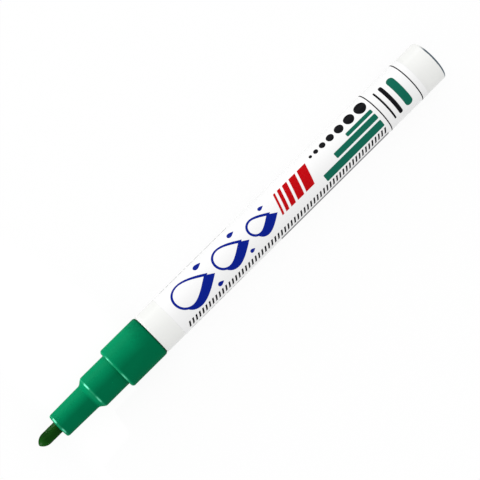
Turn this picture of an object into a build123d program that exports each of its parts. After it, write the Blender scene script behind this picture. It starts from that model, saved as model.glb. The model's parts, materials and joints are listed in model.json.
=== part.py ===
from build123d import *
from math import cos, pi, sin, sqrt
import os

# A paint marker with a spring valve behind its fibre nib. It lies on its side
# along X, nib towards -X, with the collar's lowest line on the ground at Z = 0.
# All sizes are in millimetres.

# Clearances
FIT = 0.02  # between pieces that are pushed or glued together
RUN = 0.05  # between a rod and the guide that it slides in
STOP_GAP = 0.05  # between a sliding piece and its stop, at rest
OVERRUN = 1.0  # how far a cut runs past what it cuts
SAME_PLACE = 0.001  # two places nearer than this are one

# Nib, a round-ended rod of pressed fibre
NIB_D = 3.15
NIB_SHOWN = 6.3  # in front of the nose
NIB_POINT = 2.4  # length of the rounded end
NIB_TIP_R = 0.6  # at the very tip
STROKE = 1.5  # how far the nib is pushed in to open the valve

# Front section: nose, cone, cap seat, collar and the plug inside the barrel
NOSE_FRONT_D = 6.65
NOSE_REAR_D = 6.95
NOSE_LENGTH = 10.2
NOSE_EDGE = 0.55
CONE_LENGTH = 1.3
CONE_FOOT = 0.4
CAP_SEAT_D = 9.1
CAP_SEAT_LENGTH = 7.6
CAP_SEAT_EDGE = 0.35
COLLAR_PROUD = 0.1  # above the barrel
COLLAR_LENGTH = 11.7
COLLAR_FRONT_EDGE = 0.75
EDGE_LIMIT_SHARE = 0.9  # most of its step that the rounded front edge may take
COLLAR_REAR_ROUND = 0.8  # length of the rounded rear edge
COLLAR_REAR_DROP = 0.45  # how far that edge falls away
PLUG_LENGTH = 8.0
PLUG_LEAD_IN = 0.4
VALVE_BORE_D = 6.4
VENT_COUNT = 6  # grooves in the nib guide, for air and paint
VENT_WIDTH = 0.7
VENT_DEPTH = 0.45

# Barrel, a drawn tube with a closed tail
BARREL_D = 11.4
BARREL_LENGTH = 95.0
BARREL_WALL = 0.5
MOUTH_EDGE = 0.15
TAIL_WALL = 0.9
TAIL_EDGE = 0.6

# Label, a printed film wrapped round the barrel with a seam underneath
LABEL_FILM = 0.05
LABEL_FRONT_MARGIN = 6.0
LABEL_REAR_MARGIN = 6.4
LABEL_SEAM = 0.6

# Nib holder, a slotted sleeve on the rear of the nib
HOLDER_SETBACK = 1.0  # from the front of the cap seat to the holder's stop
HOLDER_LENGTH = 6.8
HOLDER_WALL = 0.6
HOLDER_END_WALL = 1.0
HOLDER_FLANGE = 1.2
HOLDER_FLANGE_STEP = 0.4
HOLDER_CLEARANCE = 0.2
HOLDER_ROOM = 0.95  # left behind the holder when the nib is pushed in
SLOT_COUNT = 4
SLOT_WIDTH = 0.8
SLOT_LENGTH = 2.8
NOTCH_WIDTH = 1.2
NOTCH_DEPTH = 0.3

# Valve: seat, stem with its head, seal, spring and cage
SEAT_THICKNESS = 2.0
SEAT_LIP = 0.4
SEAT_LIP_WALL = 0.5
SEAT_FLOW = 0.6  # round the stem
STEM_D = 1.8
STEM_GUIDE_D = 1.6
STEM_PAST_CAGE = 0.5
STEM_EDGE = 0.25
HEAD_THICKNESS = 1.2
HEAD_FLOW = 0.45  # round the head, inside the cage
SEAL_THICKNESS = 0.8
SPRING_D = 3.4
SPRING_WIRE_D = 0.4
SPRING_LENGTH = 8.0  # between the head and the cage, valve closed
SPRING_TURNS = 7
SPRING_STEPS = 4  # biarcs in one turn
CAGE_WALL = 0.6
CAGE_FLOOR = 1.2
CAGE_BOSS_WALL = 0.3
CAGE_BOSS = 1.8
CAGE_BEAD = 0.25  # how far the snap bead stands proud
CAGE_BEAD_SETBACK = 1.6
BEAD_CORNERS = 4  # of the diamond that the bead is half of
FLOW_HOLE_COUNT = 6
FLOW_HOLE_D = 0.7

# Ring seal between the plug and the barrel
RING_WIDTH = 1.6
RING_DEPTH = 0.65
RING_SETBACK = 3.2
RING_EDGE = 0.2

# Mixing ball, loose in the barrel
BALL_D = 5.0
BALL_CLEARANCE = 0.2

# Radii that follow
NIB_R = NIB_D / 2
NIB_GUIDE_R = NIB_R + RUN
VENT_R = NIB_GUIDE_R + VENT_DEPTH
NIB_GRIP_R = NIB_R + FIT
HOLDER_R = NIB_GRIP_R + HOLDER_WALL
HOLDER_FLANGE_R = HOLDER_R + HOLDER_FLANGE_STEP
HOLDER_BORE_R = HOLDER_FLANGE_R + HOLDER_CLEARANCE
CAP_SEAT_R = CAP_SEAT_D / 2
BARREL_R = BARREL_D / 2
BARREL_BORE_R = BARREL_R - BARREL_WALL
COLLAR_R = BARREL_R + COLLAR_PROUD
COLLAR_EDGE_R = min(COLLAR_FRONT_EDGE, (COLLAR_R - CAP_SEAT_R) * EDGE_LIMIT_SHARE)
LABEL_R = BARREL_R + FIT
LABEL_OUTER_R = LABEL_R + LABEL_FILM
PLUG_R = BARREL_BORE_R - FIT
VALVE_BORE_R = VALVE_BORE_D / 2
CAGE_R = VALVE_BORE_R - FIT
CAGE_BORE_R = CAGE_R - CAGE_WALL
STEM_R = STEM_D / 2
STEM_GUIDE_R = STEM_GUIDE_D / 2
GUIDE_HOLE_R = STEM_GUIDE_R + RUN
CAGE_BOSS_R = GUIDE_HOLE_R + CAGE_BOSS_WALL
SEAT_BORE_R = STEM_R + SEAT_FLOW
SEAT_LIP_R = SEAT_BORE_R + SEAT_LIP_WALL
HEAD_R = CAGE_BORE_R - HEAD_FLOW
SPRING_R = (SPRING_D - SPRING_WIRE_D) / 2
FLOW_RING_R = (SPRING_D / 2 + CAGE_BORE_R) / 2
RING_FLOOR_R = PLUG_R - RING_DEPTH
RING_THICKNESS = BARREL_BORE_R - RING_FLOOR_R - 2 * FIT
BALL_R = BALL_D / 2

# Places along the marker, from the nib tip to the tail
OVERALL = NIB_SHOWN + NOSE_LENGTH + CONE_LENGTH + CAP_SEAT_LENGTH + COLLAR_LENGTH + BARREL_LENGTH
TIP_X = -OVERALL / 2
NOSE_X = TIP_X + NIB_SHOWN
CONE_X = NOSE_X + NOSE_LENGTH
CAP_SEAT_X = CONE_X + CONE_LENGTH
COLLAR_X = CAP_SEAT_X + CAP_SEAT_LENGTH
BARREL_X = COLLAR_X + COLLAR_LENGTH
TAIL_X = BARREL_X + BARREL_LENGTH
TAIL_FLOOR_X = TAIL_X - TAIL_WALL
PLUG_END_X = BARREL_X + PLUG_LENGTH

# Places of the valve train, which is stacked behind the nib holder's stop
HOLDER_STOP_X = CAP_SEAT_X + HOLDER_SETBACK
HOLDER_X = HOLDER_STOP_X + STOP_GAP
HOLDER_END_X = HOLDER_X + HOLDER_LENGTH
NIB_END_X = HOLDER_END_X - HOLDER_END_WALL
SEAT_X = HOLDER_END_X + STROKE + HOLDER_ROOM
SEAT_END_X = SEAT_X + SEAT_THICKNESS
LIP_END_X = SEAT_END_X + SEAT_LIP
HEAD_X = LIP_END_X + SEAL_THICKNESS
SPRING_X = HEAD_X + HEAD_THICKNESS
CAGE_FLOOR_X = SPRING_X + SPRING_LENGTH
CAGE_END_X = CAGE_FLOOR_X + CAGE_FLOOR
CAGE_BEAD_X = CAGE_END_X - CAGE_BEAD_SETBACK
STEM_X = HOLDER_END_X + STOP_GAP
STEM_END_X = CAGE_END_X + STEM_PAST_CAGE
RING_X = PLUG_END_X - RING_SETBACK

# The axis lies half the widest piece above the ground
AXIS_Z = max(COLLAR_R, LABEL_OUTER_R)
AXIS = Axis((0, 0, AXIS_Z), (1, 0, 0))

# Half profiles are drawn on this plane: X along the marker, Y outwards from the axis
PROFILE = Plane(origin=(0, 0, AXIS_Z), x_dir=(1, 0, 0), z_dir=(0, -1, 0))


def across(x):
    """Plane across the marker at that place, facing the tail."""
    return Plane(origin=(x, 0, AXIS_Z), x_dir=(0, 1, 0), z_dir=(1, 0, 0))


def rings(piece, x, radius):
    """Round edges of that radius, about the axis, at that place."""
    circles = piece.edges().filter_by(GeomType.CIRCLE)
    of_size = circles.filter_by(lambda edge: abs(edge.radius - radius) < SAME_PLACE)
    return of_size.filter_by(lambda edge: abs(edge.arc_center.X - x) < SAME_PLACE)


# Nib: its end is a small ball, blended into the rod by an arc tangent to both
POINT_REACH = NIB_POINT - NIB_TIP_R
POINT_ARC_R = (POINT_REACH**2 + NIB_R**2 - NIB_TIP_R**2) / (2 * (NIB_R - NIB_TIP_R))
POINT_SHARE = NIB_TIP_R / (POINT_ARC_R - NIB_TIP_R)
BLEND_X = TIP_X + NIB_TIP_R - POINT_REACH * POINT_SHARE
BLEND_R = (POINT_ARC_R - NIB_R) * POINT_SHARE
with BuildPart() as nib:
    with BuildSketch(PROFILE):
        with BuildLine():
            Polyline((TIP_X, 0), (NIB_END_X, 0), (NIB_END_X, NIB_R), (TIP_X + NIB_POINT, NIB_R))
            TangentArc((TIP_X + NIB_POINT, NIB_R), (BLEND_X, BLEND_R), tangent=(-1, 0))
            TangentArc((TIP_X, 0), (BLEND_X, BLEND_R), tangent=(0, 1))
        make_face()
    revolve(axis=AXIS)

# Nib holder: flange, sleeve and end wall, slotted so that paint reaches the nib
with BuildPart() as nib_holder:
    with BuildSketch(PROFILE):
        with BuildLine():
            Polyline(
                (HOLDER_X, NIB_GRIP_R),
                (HOLDER_X, HOLDER_FLANGE_R),
                (HOLDER_X + HOLDER_FLANGE, HOLDER_FLANGE_R),
                (HOLDER_X + HOLDER_FLANGE, HOLDER_R),
                (HOLDER_END_X, HOLDER_R),
                (HOLDER_END_X, 0),
                (NIB_END_X, 0),
                (NIB_END_X, NIB_GRIP_R),
                close=True,
            )
        make_face()
    revolve(axis=AXIS)
    # Slots through the sleeve
    with BuildSketch(across(NIB_END_X)):
        with PolarLocations(HOLDER_R, SLOT_COUNT):
            Rectangle(2 * (HOLDER_WALL + OVERRUN), SLOT_WIDTH)
    extrude(amount=-SLOT_LENGTH, mode=Mode.SUBTRACT)
    # Notches in the flange's rim
    with BuildSketch(across(HOLDER_X)):
        with PolarLocations(HOLDER_FLANGE_R, SLOT_COUNT):
            Rectangle(2 * NOTCH_DEPTH, NOTCH_WIDTH)
    extrude(amount=HOLDER_FLANGE, mode=Mode.SUBTRACT)

# Front section
with BuildPart() as front_section:
    with BuildSketch(PROFILE):
        with BuildLine():
            Polyline(
                (BARREL_X, COLLAR_R - COLLAR_REAR_DROP),
                (BARREL_X, PLUG_R),
                (PLUG_END_X, PLUG_R),
                (PLUG_END_X, VALVE_BORE_R),
                (SEAT_X, VALVE_BORE_R),
                (SEAT_X, HOLDER_BORE_R),
                (HOLDER_STOP_X, HOLDER_BORE_R),
                (HOLDER_STOP_X, NIB_GUIDE_R),
                (NOSE_X, NIB_GUIDE_R),
                (NOSE_X, NOSE_FRONT_D / 2),
                (CONE_X, NOSE_REAR_D / 2),
                (CAP_SEAT_X, CAP_SEAT_R),
                (COLLAR_X, CAP_SEAT_R),
                (COLLAR_X, COLLAR_R),
                (BARREL_X - COLLAR_REAR_ROUND, COLLAR_R),
            )
            TangentArc(
                (BARREL_X - COLLAR_REAR_ROUND, COLLAR_R),
                (BARREL_X, COLLAR_R - COLLAR_REAR_DROP),
                tangent=(1, 0),
            )
        make_face()
    revolve(axis=AXIS)
    fillet(rings(front_section, NOSE_X, NOSE_FRONT_D / 2), NOSE_EDGE)
    fillet(rings(front_section, CONE_X, NOSE_REAR_D / 2), CONE_FOOT)
    fillet(rings(front_section, CAP_SEAT_X, CAP_SEAT_R), CAP_SEAT_EDGE)
    fillet(rings(front_section, COLLAR_X, COLLAR_R), COLLAR_EDGE_R)
    chamfer(rings(front_section, PLUG_END_X, PLUG_R), PLUG_LEAD_IN)
    # Vents along the nib guide
    with BuildSketch(across(NOSE_X)):
        with PolarLocations(VENT_R / 2, VENT_COUNT):
            Rectangle(VENT_R, VENT_WIDTH)
    extrude(amount=HOLDER_STOP_X - NOSE_X, mode=Mode.SUBTRACT)
    # Groove for the ring seal
    with BuildSketch(PROFILE):
        with Locations((RING_X, PLUG_R)):
            Rectangle(RING_WIDTH, 2 * RING_DEPTH)
    revolve(axis=AXIS, mode=Mode.SUBTRACT)
    # Groove that the cage's bead snaps into
    with BuildSketch(PROFILE):
        with Locations((CAGE_BEAD_X, VALVE_BORE_R)):
            RegularPolygon(CAGE_BEAD + FIT, BEAD_CORNERS)
    revolve(axis=AXIS, mode=Mode.SUBTRACT)

# Barrel
with BuildPart() as barrel:
    with BuildSketch(PROFILE):
        with BuildLine():
            Polyline(
                (BARREL_X, BARREL_BORE_R),
                (BARREL_X, BARREL_R),
                (TAIL_X, BARREL_R),
                (TAIL_X, 0),
                (TAIL_FLOOR_X, 0),
                (TAIL_FLOOR_X, BARREL_BORE_R),
                close=True,
            )
        make_face()
    revolve(axis=AXIS)
    fillet(rings(barrel, TAIL_X, BARREL_R), TAIL_EDGE)
    fillet(rings(barrel, TAIL_FLOOR_X, BARREL_BORE_R), TAIL_EDGE)
    fillet(rings(barrel, BARREL_X, BARREL_R), MOUTH_EDGE)

# Label
with BuildPart() as label_wrap:
    with BuildSketch(across(BARREL_X + LABEL_FRONT_MARGIN)):
        Circle(LABEL_OUTER_R)
        Circle(LABEL_R, mode=Mode.SUBTRACT)
        with Locations((0, -LABEL_R)):
            Rectangle(LABEL_SEAM, LABEL_R, mode=Mode.SUBTRACT)
    extrude(amount=BARREL_LENGTH - LABEL_FRONT_MARGIN - LABEL_REAR_MARGIN)

# Valve seat, a ring with a raised lip
with BuildPart() as valve_seat:
    with BuildSketch(PROFILE):
        with BuildLine():
            Polyline(
                (SEAT_X, SEAT_BORE_R),
                (SEAT_X, CAGE_R),
                (SEAT_END_X, CAGE_R),
                (SEAT_END_X, SEAT_LIP_R),
                (LIP_END_X, SEAT_LIP_R),
                (LIP_END_X, SEAT_BORE_R),
                close=True,
            )
        make_face()
    revolve(axis=AXIS)

# Valve stem: push rod, head and guide rod
with BuildPart() as valve_stem:
    with BuildSketch(PROFILE):
        with BuildLine():
            Polyline(
                (STEM_X, 0),
                (STEM_X, STEM_R),
                (HEAD_X, STEM_R),
                (HEAD_X, HEAD_R),
                (SPRING_X, HEAD_R),
                (SPRING_X, STEM_GUIDE_R),
                (STEM_END_X, STEM_GUIDE_R),
                (STEM_END_X, 0),
                close=True,
            )
        make_face()
    revolve(axis=AXIS)
    fillet(rings(valve_stem, STEM_X, STEM_R), STEM_EDGE)
    fillet(rings(valve_stem, STEM_END_X, STEM_GUIDE_R), STEM_EDGE)

# Valve seal, a washer in front of the head
with BuildPart() as valve_seal:
    with BuildSketch(across(LIP_END_X)):
        Circle(HEAD_R)
        Circle(STEM_R + FIT, mode=Mode.SUBTRACT)
    extrude(amount=SEAL_THICKNESS)

# Spring cage: wall, floor with flow holes, and a boss that guides the stem
with BuildPart() as spring_cage:
    with BuildSketch(PROFILE):
        with BuildLine():
            Polyline(
                (SEAT_END_X, CAGE_BORE_R),
                (SEAT_END_X, CAGE_R),
                (CAGE_END_X, CAGE_R),
                (CAGE_END_X, GUIDE_HOLE_R),
                (CAGE_FLOOR_X - CAGE_BOSS, GUIDE_HOLE_R),
                (CAGE_FLOOR_X - CAGE_BOSS, CAGE_BOSS_R),
                (CAGE_FLOOR_X, CAGE_BOSS_R),
                (CAGE_FLOOR_X, CAGE_BORE_R),
                close=True,
            )
        make_face()
        with Locations((CAGE_BEAD_X, VALVE_BORE_R)):
            RegularPolygon(CAGE_BEAD, BEAD_CORNERS)
    revolve(axis=AXIS)
    with BuildSketch(across(CAGE_END_X)):
        with PolarLocations(FLOW_RING_R, FLOW_HOLE_COUNT):
            Circle(FLOW_HOLE_D / 2)
    extrude(amount=-(CAGE_FLOOR + OVERRUN), mode=Mode.SUBTRACT)

# Valve spring: its wire follows a helix, a pair of tangent arcs to each step
SPRING_WIRE_R = SPRING_WIRE_D / 2
SPRING_RISE = SPRING_LENGTH - SPRING_WIRE_D - 2 * STOP_GAP
SPRING_PITCH = SPRING_RISE / SPRING_TURNS
SPRING_START_X = SPRING_X + SPRING_WIRE_R + STOP_GAP


def wire_point(turn):
    """Point on the wire's centre line after that many turns."""
    angle = 2 * pi * turn
    x = SPRING_START_X + SPRING_PITCH * turn
    return Vector(x, SPRING_R * cos(angle), AXIS_Z + SPRING_R * sin(angle))


def wire_way(turn):
    """Direction of the wire there."""
    angle = 2 * pi * turn
    return Vector(SPRING_PITCH / (2 * pi), -SPRING_R * sin(angle), SPRING_R * cos(angle)).normalized()


def biarc_joint(start, end, start_way, end_way):
    """Point where two arcs of like reach, tangent to the two ways, meet."""
    span = end - start
    ways = start_way + end_way
    bend = 4 - ways.dot(ways)
    along = span.dot(ways)
    reach = (sqrt(along * along + bend * span.dot(span)) - along) / bend
    return (start + end + (start_way - end_way) * reach) / 2


def least_gap():
    """Least gap between one turn of the wire and the next, on points."""
    points_in_turn = 24
    count = SPRING_TURNS * points_in_turn
    points = [wire_point(index / points_in_turn) for index in range(count + 1)]
    gaps = []
    for index, point in enumerate(points):
        for other in points[index + points_in_turn // 2:]:
            gaps.append((other - point).length - SPRING_WIRE_D)
    return min(gaps)


with BuildPart() as valve_spring:
    with BuildLine() as wire_line:
        for step in range(SPRING_TURNS * SPRING_STEPS):
            turn_in = step / SPRING_STEPS
            turn_out = (step + 1) / SPRING_STEPS
            arc_in = wire_point(turn_in)
            arc_out = wire_point(turn_out)
            joint = biarc_joint(arc_in, arc_out, wire_way(turn_in), wire_way(turn_out))
            first_arc = TangentArc(arc_in, joint, tangent=wire_way(turn_in))
            TangentArc(joint, arc_out, tangent=first_arc % 1)
    with BuildSketch(Plane(origin=wire_point(0), z_dir=wire_way(0))):
        Circle(SPRING_WIRE_R)
    sweep(path=wire_line.wires()[0])
print("least gap between the spring's turns:", round(least_gap(), 3))

# Ring seal, squeezed into its groove
with BuildPart() as barrel_seal:
    with BuildSketch(PROFILE):
        with Locations((RING_X, (RING_FLOOR_R + BARREL_BORE_R) / 2)):
            RectangleRounded(RING_WIDTH - 2 * FIT, RING_THICKNESS, RING_EDGE)
    revolve(axis=AXIS)

# Mixing ball, at the tail and on the low side of the bore
BALL_X = TAIL_FLOOR_X - BALL_CLEARANCE - BALL_R
BALL_Z = AXIS_Z - BARREL_BORE_R + BALL_CLEARANCE + BALL_R
with BuildPart() as mixing_ball:
    with Locations((BALL_X, 0, BALL_Z)):
        Sphere(BALL_R)

# One file for each piece
pieces = {
    "nib": nib,
    "nib_holder": nib_holder,
    "front_section": front_section,
    "barrel": barrel,
    "label_wrap": label_wrap,
    "valve_seat": valve_seat,
    "valve_stem": valve_stem,
    "valve_seal": valve_seal,
    "valve_spring": valve_spring,
    "spring_cage": spring_cage,
    "barrel_seal": barrel_seal,
    "mixing_ball": mixing_ball,
}
os.makedirs("parts", exist_ok=True)
for name, piece in pieces.items():
    piece.part.label = name
    export_step(piece.part, f"parts/{name}.step")
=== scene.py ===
import json
from itertools import cycle
from math import asin, cos, pi, radians, sin

import bmesh
import bpy
from mathutils import Euler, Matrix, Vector

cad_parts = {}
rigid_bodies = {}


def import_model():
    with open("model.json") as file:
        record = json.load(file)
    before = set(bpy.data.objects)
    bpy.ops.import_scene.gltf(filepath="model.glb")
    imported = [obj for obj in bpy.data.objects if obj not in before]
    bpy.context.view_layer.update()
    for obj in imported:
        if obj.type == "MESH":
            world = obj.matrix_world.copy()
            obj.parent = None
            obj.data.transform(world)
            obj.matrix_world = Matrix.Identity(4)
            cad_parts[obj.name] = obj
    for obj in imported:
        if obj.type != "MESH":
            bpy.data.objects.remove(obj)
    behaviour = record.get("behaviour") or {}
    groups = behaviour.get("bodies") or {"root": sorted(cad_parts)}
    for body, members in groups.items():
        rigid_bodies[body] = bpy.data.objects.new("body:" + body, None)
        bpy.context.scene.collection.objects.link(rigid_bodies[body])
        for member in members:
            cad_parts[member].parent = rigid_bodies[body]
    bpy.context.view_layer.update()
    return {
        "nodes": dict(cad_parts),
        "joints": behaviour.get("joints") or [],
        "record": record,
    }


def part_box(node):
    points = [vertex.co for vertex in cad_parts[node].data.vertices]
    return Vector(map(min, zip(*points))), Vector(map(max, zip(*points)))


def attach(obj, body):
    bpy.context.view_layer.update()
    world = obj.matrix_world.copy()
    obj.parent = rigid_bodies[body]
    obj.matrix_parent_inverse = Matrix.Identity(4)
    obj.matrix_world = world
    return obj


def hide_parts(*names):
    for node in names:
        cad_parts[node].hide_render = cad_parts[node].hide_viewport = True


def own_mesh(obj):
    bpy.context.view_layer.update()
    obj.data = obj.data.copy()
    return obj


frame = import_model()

bl_info = {
    "name": "Paint Marker",
    "version": (1, 0, 0),
    "blender": (4, 5, 0),
    "location": "3D View > Sidebar > Marker",
    "description": "Turns, moulds, prints and finishes a paint marker on its packed frame",
    "category": "Mesh",
}

MM = 0.001
FULL_TURN = 2 * pi
WHITE = (1.0, 1.0, 1.0, 1.0)
SAME_PLACE = 0.001 * MM  # places nearer to each other than this are one
FIT = 0.02 * MM  # room round a piece that sits in another
STOP_GAP = 0.05 * MM  # room between the nib holder and its stop
SMOOTH_UNDER = radians(32)  # faces that meet at less than this are shaded as one surface
BRACE = 1.2  # from a rounded corner to its bracing point, in sizes of the rounding
PAINTED_GLINT_SPOTS = 6  # painted highlight: pale, glossy spots round each edge


def ends(node):
    """Places along the marker where a CAD node starts and stops."""
    low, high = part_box(node)
    return low.x, high.x


AXIS_UP = sum(corner.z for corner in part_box("front_section")) / 2
NIB_FRONT, NIB_REAR = ends("nib")
NOSE, PLUG_END = ends("front_section")
MOUTH, TAIL = ends("barrel")
FILM_FRONT, FILM_REAR = ends("label_wrap")
HOLDER_STOP = ends("nib_holder")[0] - STOP_GAP
VALVE_SEAT = ends("valve_seat")[0]
SEAL_FRONT, SEAL_REAR = ends("barrel_seal")
SPRING_FRONT, SPRING_REAR = ends("valve_spring")
CAGE_REAR = ends("spring_cage")[1]
CAP_SEAT = next(mount for mount in frame["record"]["mounts"] if mount["name"] == "cap_seat")
VALVE_LIFT = next(joint for joint in frame["joints"] if joint["name"] == "valve_lift")


def radius_of(node):
    """Radius of a round CAD node at its top line, in millimetres."""
    return (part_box(node)[1].z - AXIS_UP) / MM


def offset(description, millimetres, **limits):
    """A place on one axis, shown in the panel: a length that may be negative."""
    return bpy.props.FloatProperty(
        description=description, default=millimetres * MM, precision=5, unit="LENGTH", **limits
    )


def length(description, millimetres):
    """A length that is shown in the panel."""
    return offset(description, millimetres, min=0)


def location(description, *millimetres):
    """A place in the scene that is shown in the panel."""
    place = [part * MM for part in millimetres]
    return bpy.props.FloatVectorProperty(
        description=description, default=place, size=3, precision=5, subtype="XYZ", unit="LENGTH"
    )


def angle(description, degrees):
    """An angle that is shown in the panel."""
    return bpy.props.FloatProperty(description=description, default=radians(degrees), unit="ROTATION")


def colour(description, *rgb):
    """A colour that is shown in the panel."""
    return bpy.props.FloatVectorProperty(
        description=description, default=rgb, min=0, max=1, size=3, subtype="COLOR"
    )


def amount(description, value, unit="NONE"):
    """A number that is shown in the panel."""
    return bpy.props.FloatProperty(description=description, default=value, min=0, unit=unit)


def count(description, value):
    """A whole number that is shown in the panel."""
    return bpy.props.IntProperty(description=description, default=value, min=1)


class MarkerSizes(bpy.types.PropertyGroup):
    """Sizes of the pieces, which agree with the CAD nodes that they stand for."""

    segments: count("Faces round a turned piece", 128)
    round_steps: count("Faces across a rounded edge", 5)
    arc_steps: count("Faces across an arc of an outline", 10)
    nib: length("Radius of the fibre rod", radius_of("nib"))
    nib_point: length("Length of the rounded end", 2.4)
    nib_tip: length("Radius at the very tip", 0.6)
    nib_play: length("Room between the nib and its guide", 0.05)
    vents: count("Grooves in the nib guide", 6)
    vent_width: length("Width of a groove", 0.7)
    vent_depth: length("Depth of a groove", 0.45)
    vent_overrun: length("How far the cutter of a groove stands out at each end", 1.0)
    nose_front: length("Radius at the front of the nose", 3.325)
    nose_rear: length("Radius at the rear of the nose", 3.475)
    nose_length: length("From the nose's front to the cone", 10.2)
    nose_edge: length("Rounding of the nose's front", 0.55)
    cone_length: length("From the nose to the cap seat", 1.3)
    cone_foot: length("Rounding where the nose meets the cone", 0.4)
    cap_seat: length("Radius that the cap is pushed on", CAP_SEAT["dims"]["r_mm"])
    cap_seat_length: length("From the cone to the collar", 7.6)
    cap_seat_edge: length("Rounding of the cap seat's front", 0.35)
    collar: length("Radius of the collar", radius_of("front_section"))
    collar_edge: length("Rounding of the collar's front", 0.75)
    collar_fall: length("Length of the collar's rounded rear", 0.8)
    collar_drop: length("How far the collar falls away at its rear", 0.45)
    plug_lead: length("Bevel at the end of the plug in the barrel", 0.4)
    seal_depth: length("Depth of the ring seal's groove in the plug", 0.65)
    holder_bore: length("Radius of the room for the nib holder", 2.795)
    valve_seat: length("Radius of the valve seat", radius_of("valve_seat"))
    bead: length("Depth of the groove that the cage snaps into", 0.27)
    bead_setback: length("From the cage's rear to that groove", 1.6)
    barrel: length("Radius of the barrel", radius_of("barrel"))
    barrel_wall: length("Thickness of the barrel", 0.5)
    tail_wall: length("Thickness of the closed tail", 0.9)
    tail_edge: length("Rounding of the tail", 0.6)
    mouth_edge: length("Rounding of the barrel's mouth", 0.15)
    film: length("Outer radius of the printed film", radius_of("label_wrap"))
    film_thickness: length("Thickness of the film", 0.05)
    film_seam: length("Gap between the film's two edges, underneath", 0.6)
    spring: length("Outer radius of the valve spring", 1.7)
    spring_turns: count("Turns of the valve spring", 7)
    spring_steps: count("Faces along one turn of the spring", 40)
    spring_wire: length("Radius of the spring's wire", 0.2)
    wire_sides: count("Faces round the spring's wire", 14)


class MarkerPrint(bpy.types.PropertyGroup):
    """Sizes of the printed design, whose places run along the marker and round it from its top line."""

    row: length("Widest strip of ink that stays flat on the round barrel", 0.3)
    ink: length("Thickness of an ink", 0.005)
    ink_lift: length("From the film to an ink, and from one ink to the next", 0.003)
    corner_steps: count("Sides of a rounded corner", 4)
    disc_sides: count("Sides of a disc", 40)
    stripe_start: offset("Where the slanted stripes start along the marker", 13.0)
    stripe_rise: offset("Middle of the slanted stripes round the marker", 0.9)
    stripe_height: length("Height of the slanted stripes", 5.4)
    stripe_slant: length("How far a stripe leans", 1.9)
    stripe_gap: length("From one stripe to the next", 0.7)
    drop_rim: length("Width of the blue rim round a white drop", 0.6)
    drop_pull: amount("How far a drop's rear is drawn out, in radii", 1.05)
    drop_spread: amount("How far from that rear the pull reaches, in radii", 1.35)
    shadow_shift: length("How far a drop's shadow is set off", 1.3)
    bar_end: offset("Where the green bars end along the marker", 46.0)
    bar_corner: length("Rounding of a green bar's corners", 0.25)
    dots: count("Number of black dots", 7)
    dot_start: offset("Where the black dots start along the marker", 27.3)
    dot_rise: offset("Middle of the black dots round the marker", 3.8)
    dot_radius: length("Radius of the smallest dot", 0.45)
    dot_growth: length("How much larger each dot's radius is than the last one's", 0.2)
    dot_gap: length("From one black dot to the next", 0.7)
    ring_width: length("Width of the thin rings", 0.3)
    ring_length: length("Length of a ring round the marker", 35.0)
    stroke_rise: offset("Middle of the strokes round the marker", -0.4)
    stroke_height: length("Height of the strokes between the rings", 9.0)
    ticks: count("Number of slanted ticks", 61)
    tick_start: offset("Place of the first tick along the marker", -20.9)
    tick_rise: offset("Middle of the ticks round the marker", -5.4)
    tick_pitch: length("From one slanted tick to the next", 1.1)
    tick_width: length("Width of a tick", 0.5)
    tick_height: length("Height of a tick", 1.9)
    tick_slant: length("How far a tick leans", 0.6)
    dash_height: length("Height of the grey dashes", 0.25)
    dash_gap: length("From one grey dash to the next", 0.5)


class MarkerColours(bpy.types.PropertyGroup):
    """Colours of the finishes, as light reflected in linear red, green and blue."""

    fibre: colour("Nib, soaked with paint", 0.005, 0.056, 0.003)
    fibre_dark: colour("Between the nib's strands", 0.003, 0.038, 0.002)
    plastic: colour("Moulded front section", 0.0003, 0.142, 0.058)
    # Painted highlight: the pale colour of the glints on the front section's edges
    rubbed_plastic: colour("Front section where its edges are rubbed", 0.16, 0.72, 0.48)
    enamel: colour("Painted barrel", 0.9, 0.905, 0.885)
    # Painted shade: the dark line round the tail's rim, given as dull metal
    metal: colour("Dull aluminium where the tail's rim is worn", 0.09, 0.125, 0.155)
    bright_metal: colour("Bare aluminium inside the barrel", 0.78, 0.79, 0.8)
    film: colour("White printed film", 0.95, 0.95, 0.95)
    red: colour("Red ink", 0.52, 0.002, 0.005)
    blue: colour("Blue ink", 0.002, 0.014, 0.27)
    green: colour("Green ink", 0.006, 0.14, 0.09)
    black: colour("Black ink", 0.006, 0.006, 0.008)
    grey: colour("Grey ink", 0.3, 0.3, 0.31)
    natural: colour("Valve pieces", 0.78, 0.78, 0.73)
    rubber: colour("Seals", 0.02, 0.02, 0.021)
    steel: colour("Spring and mixing ball", 0.56, 0.56, 0.57)


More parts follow.
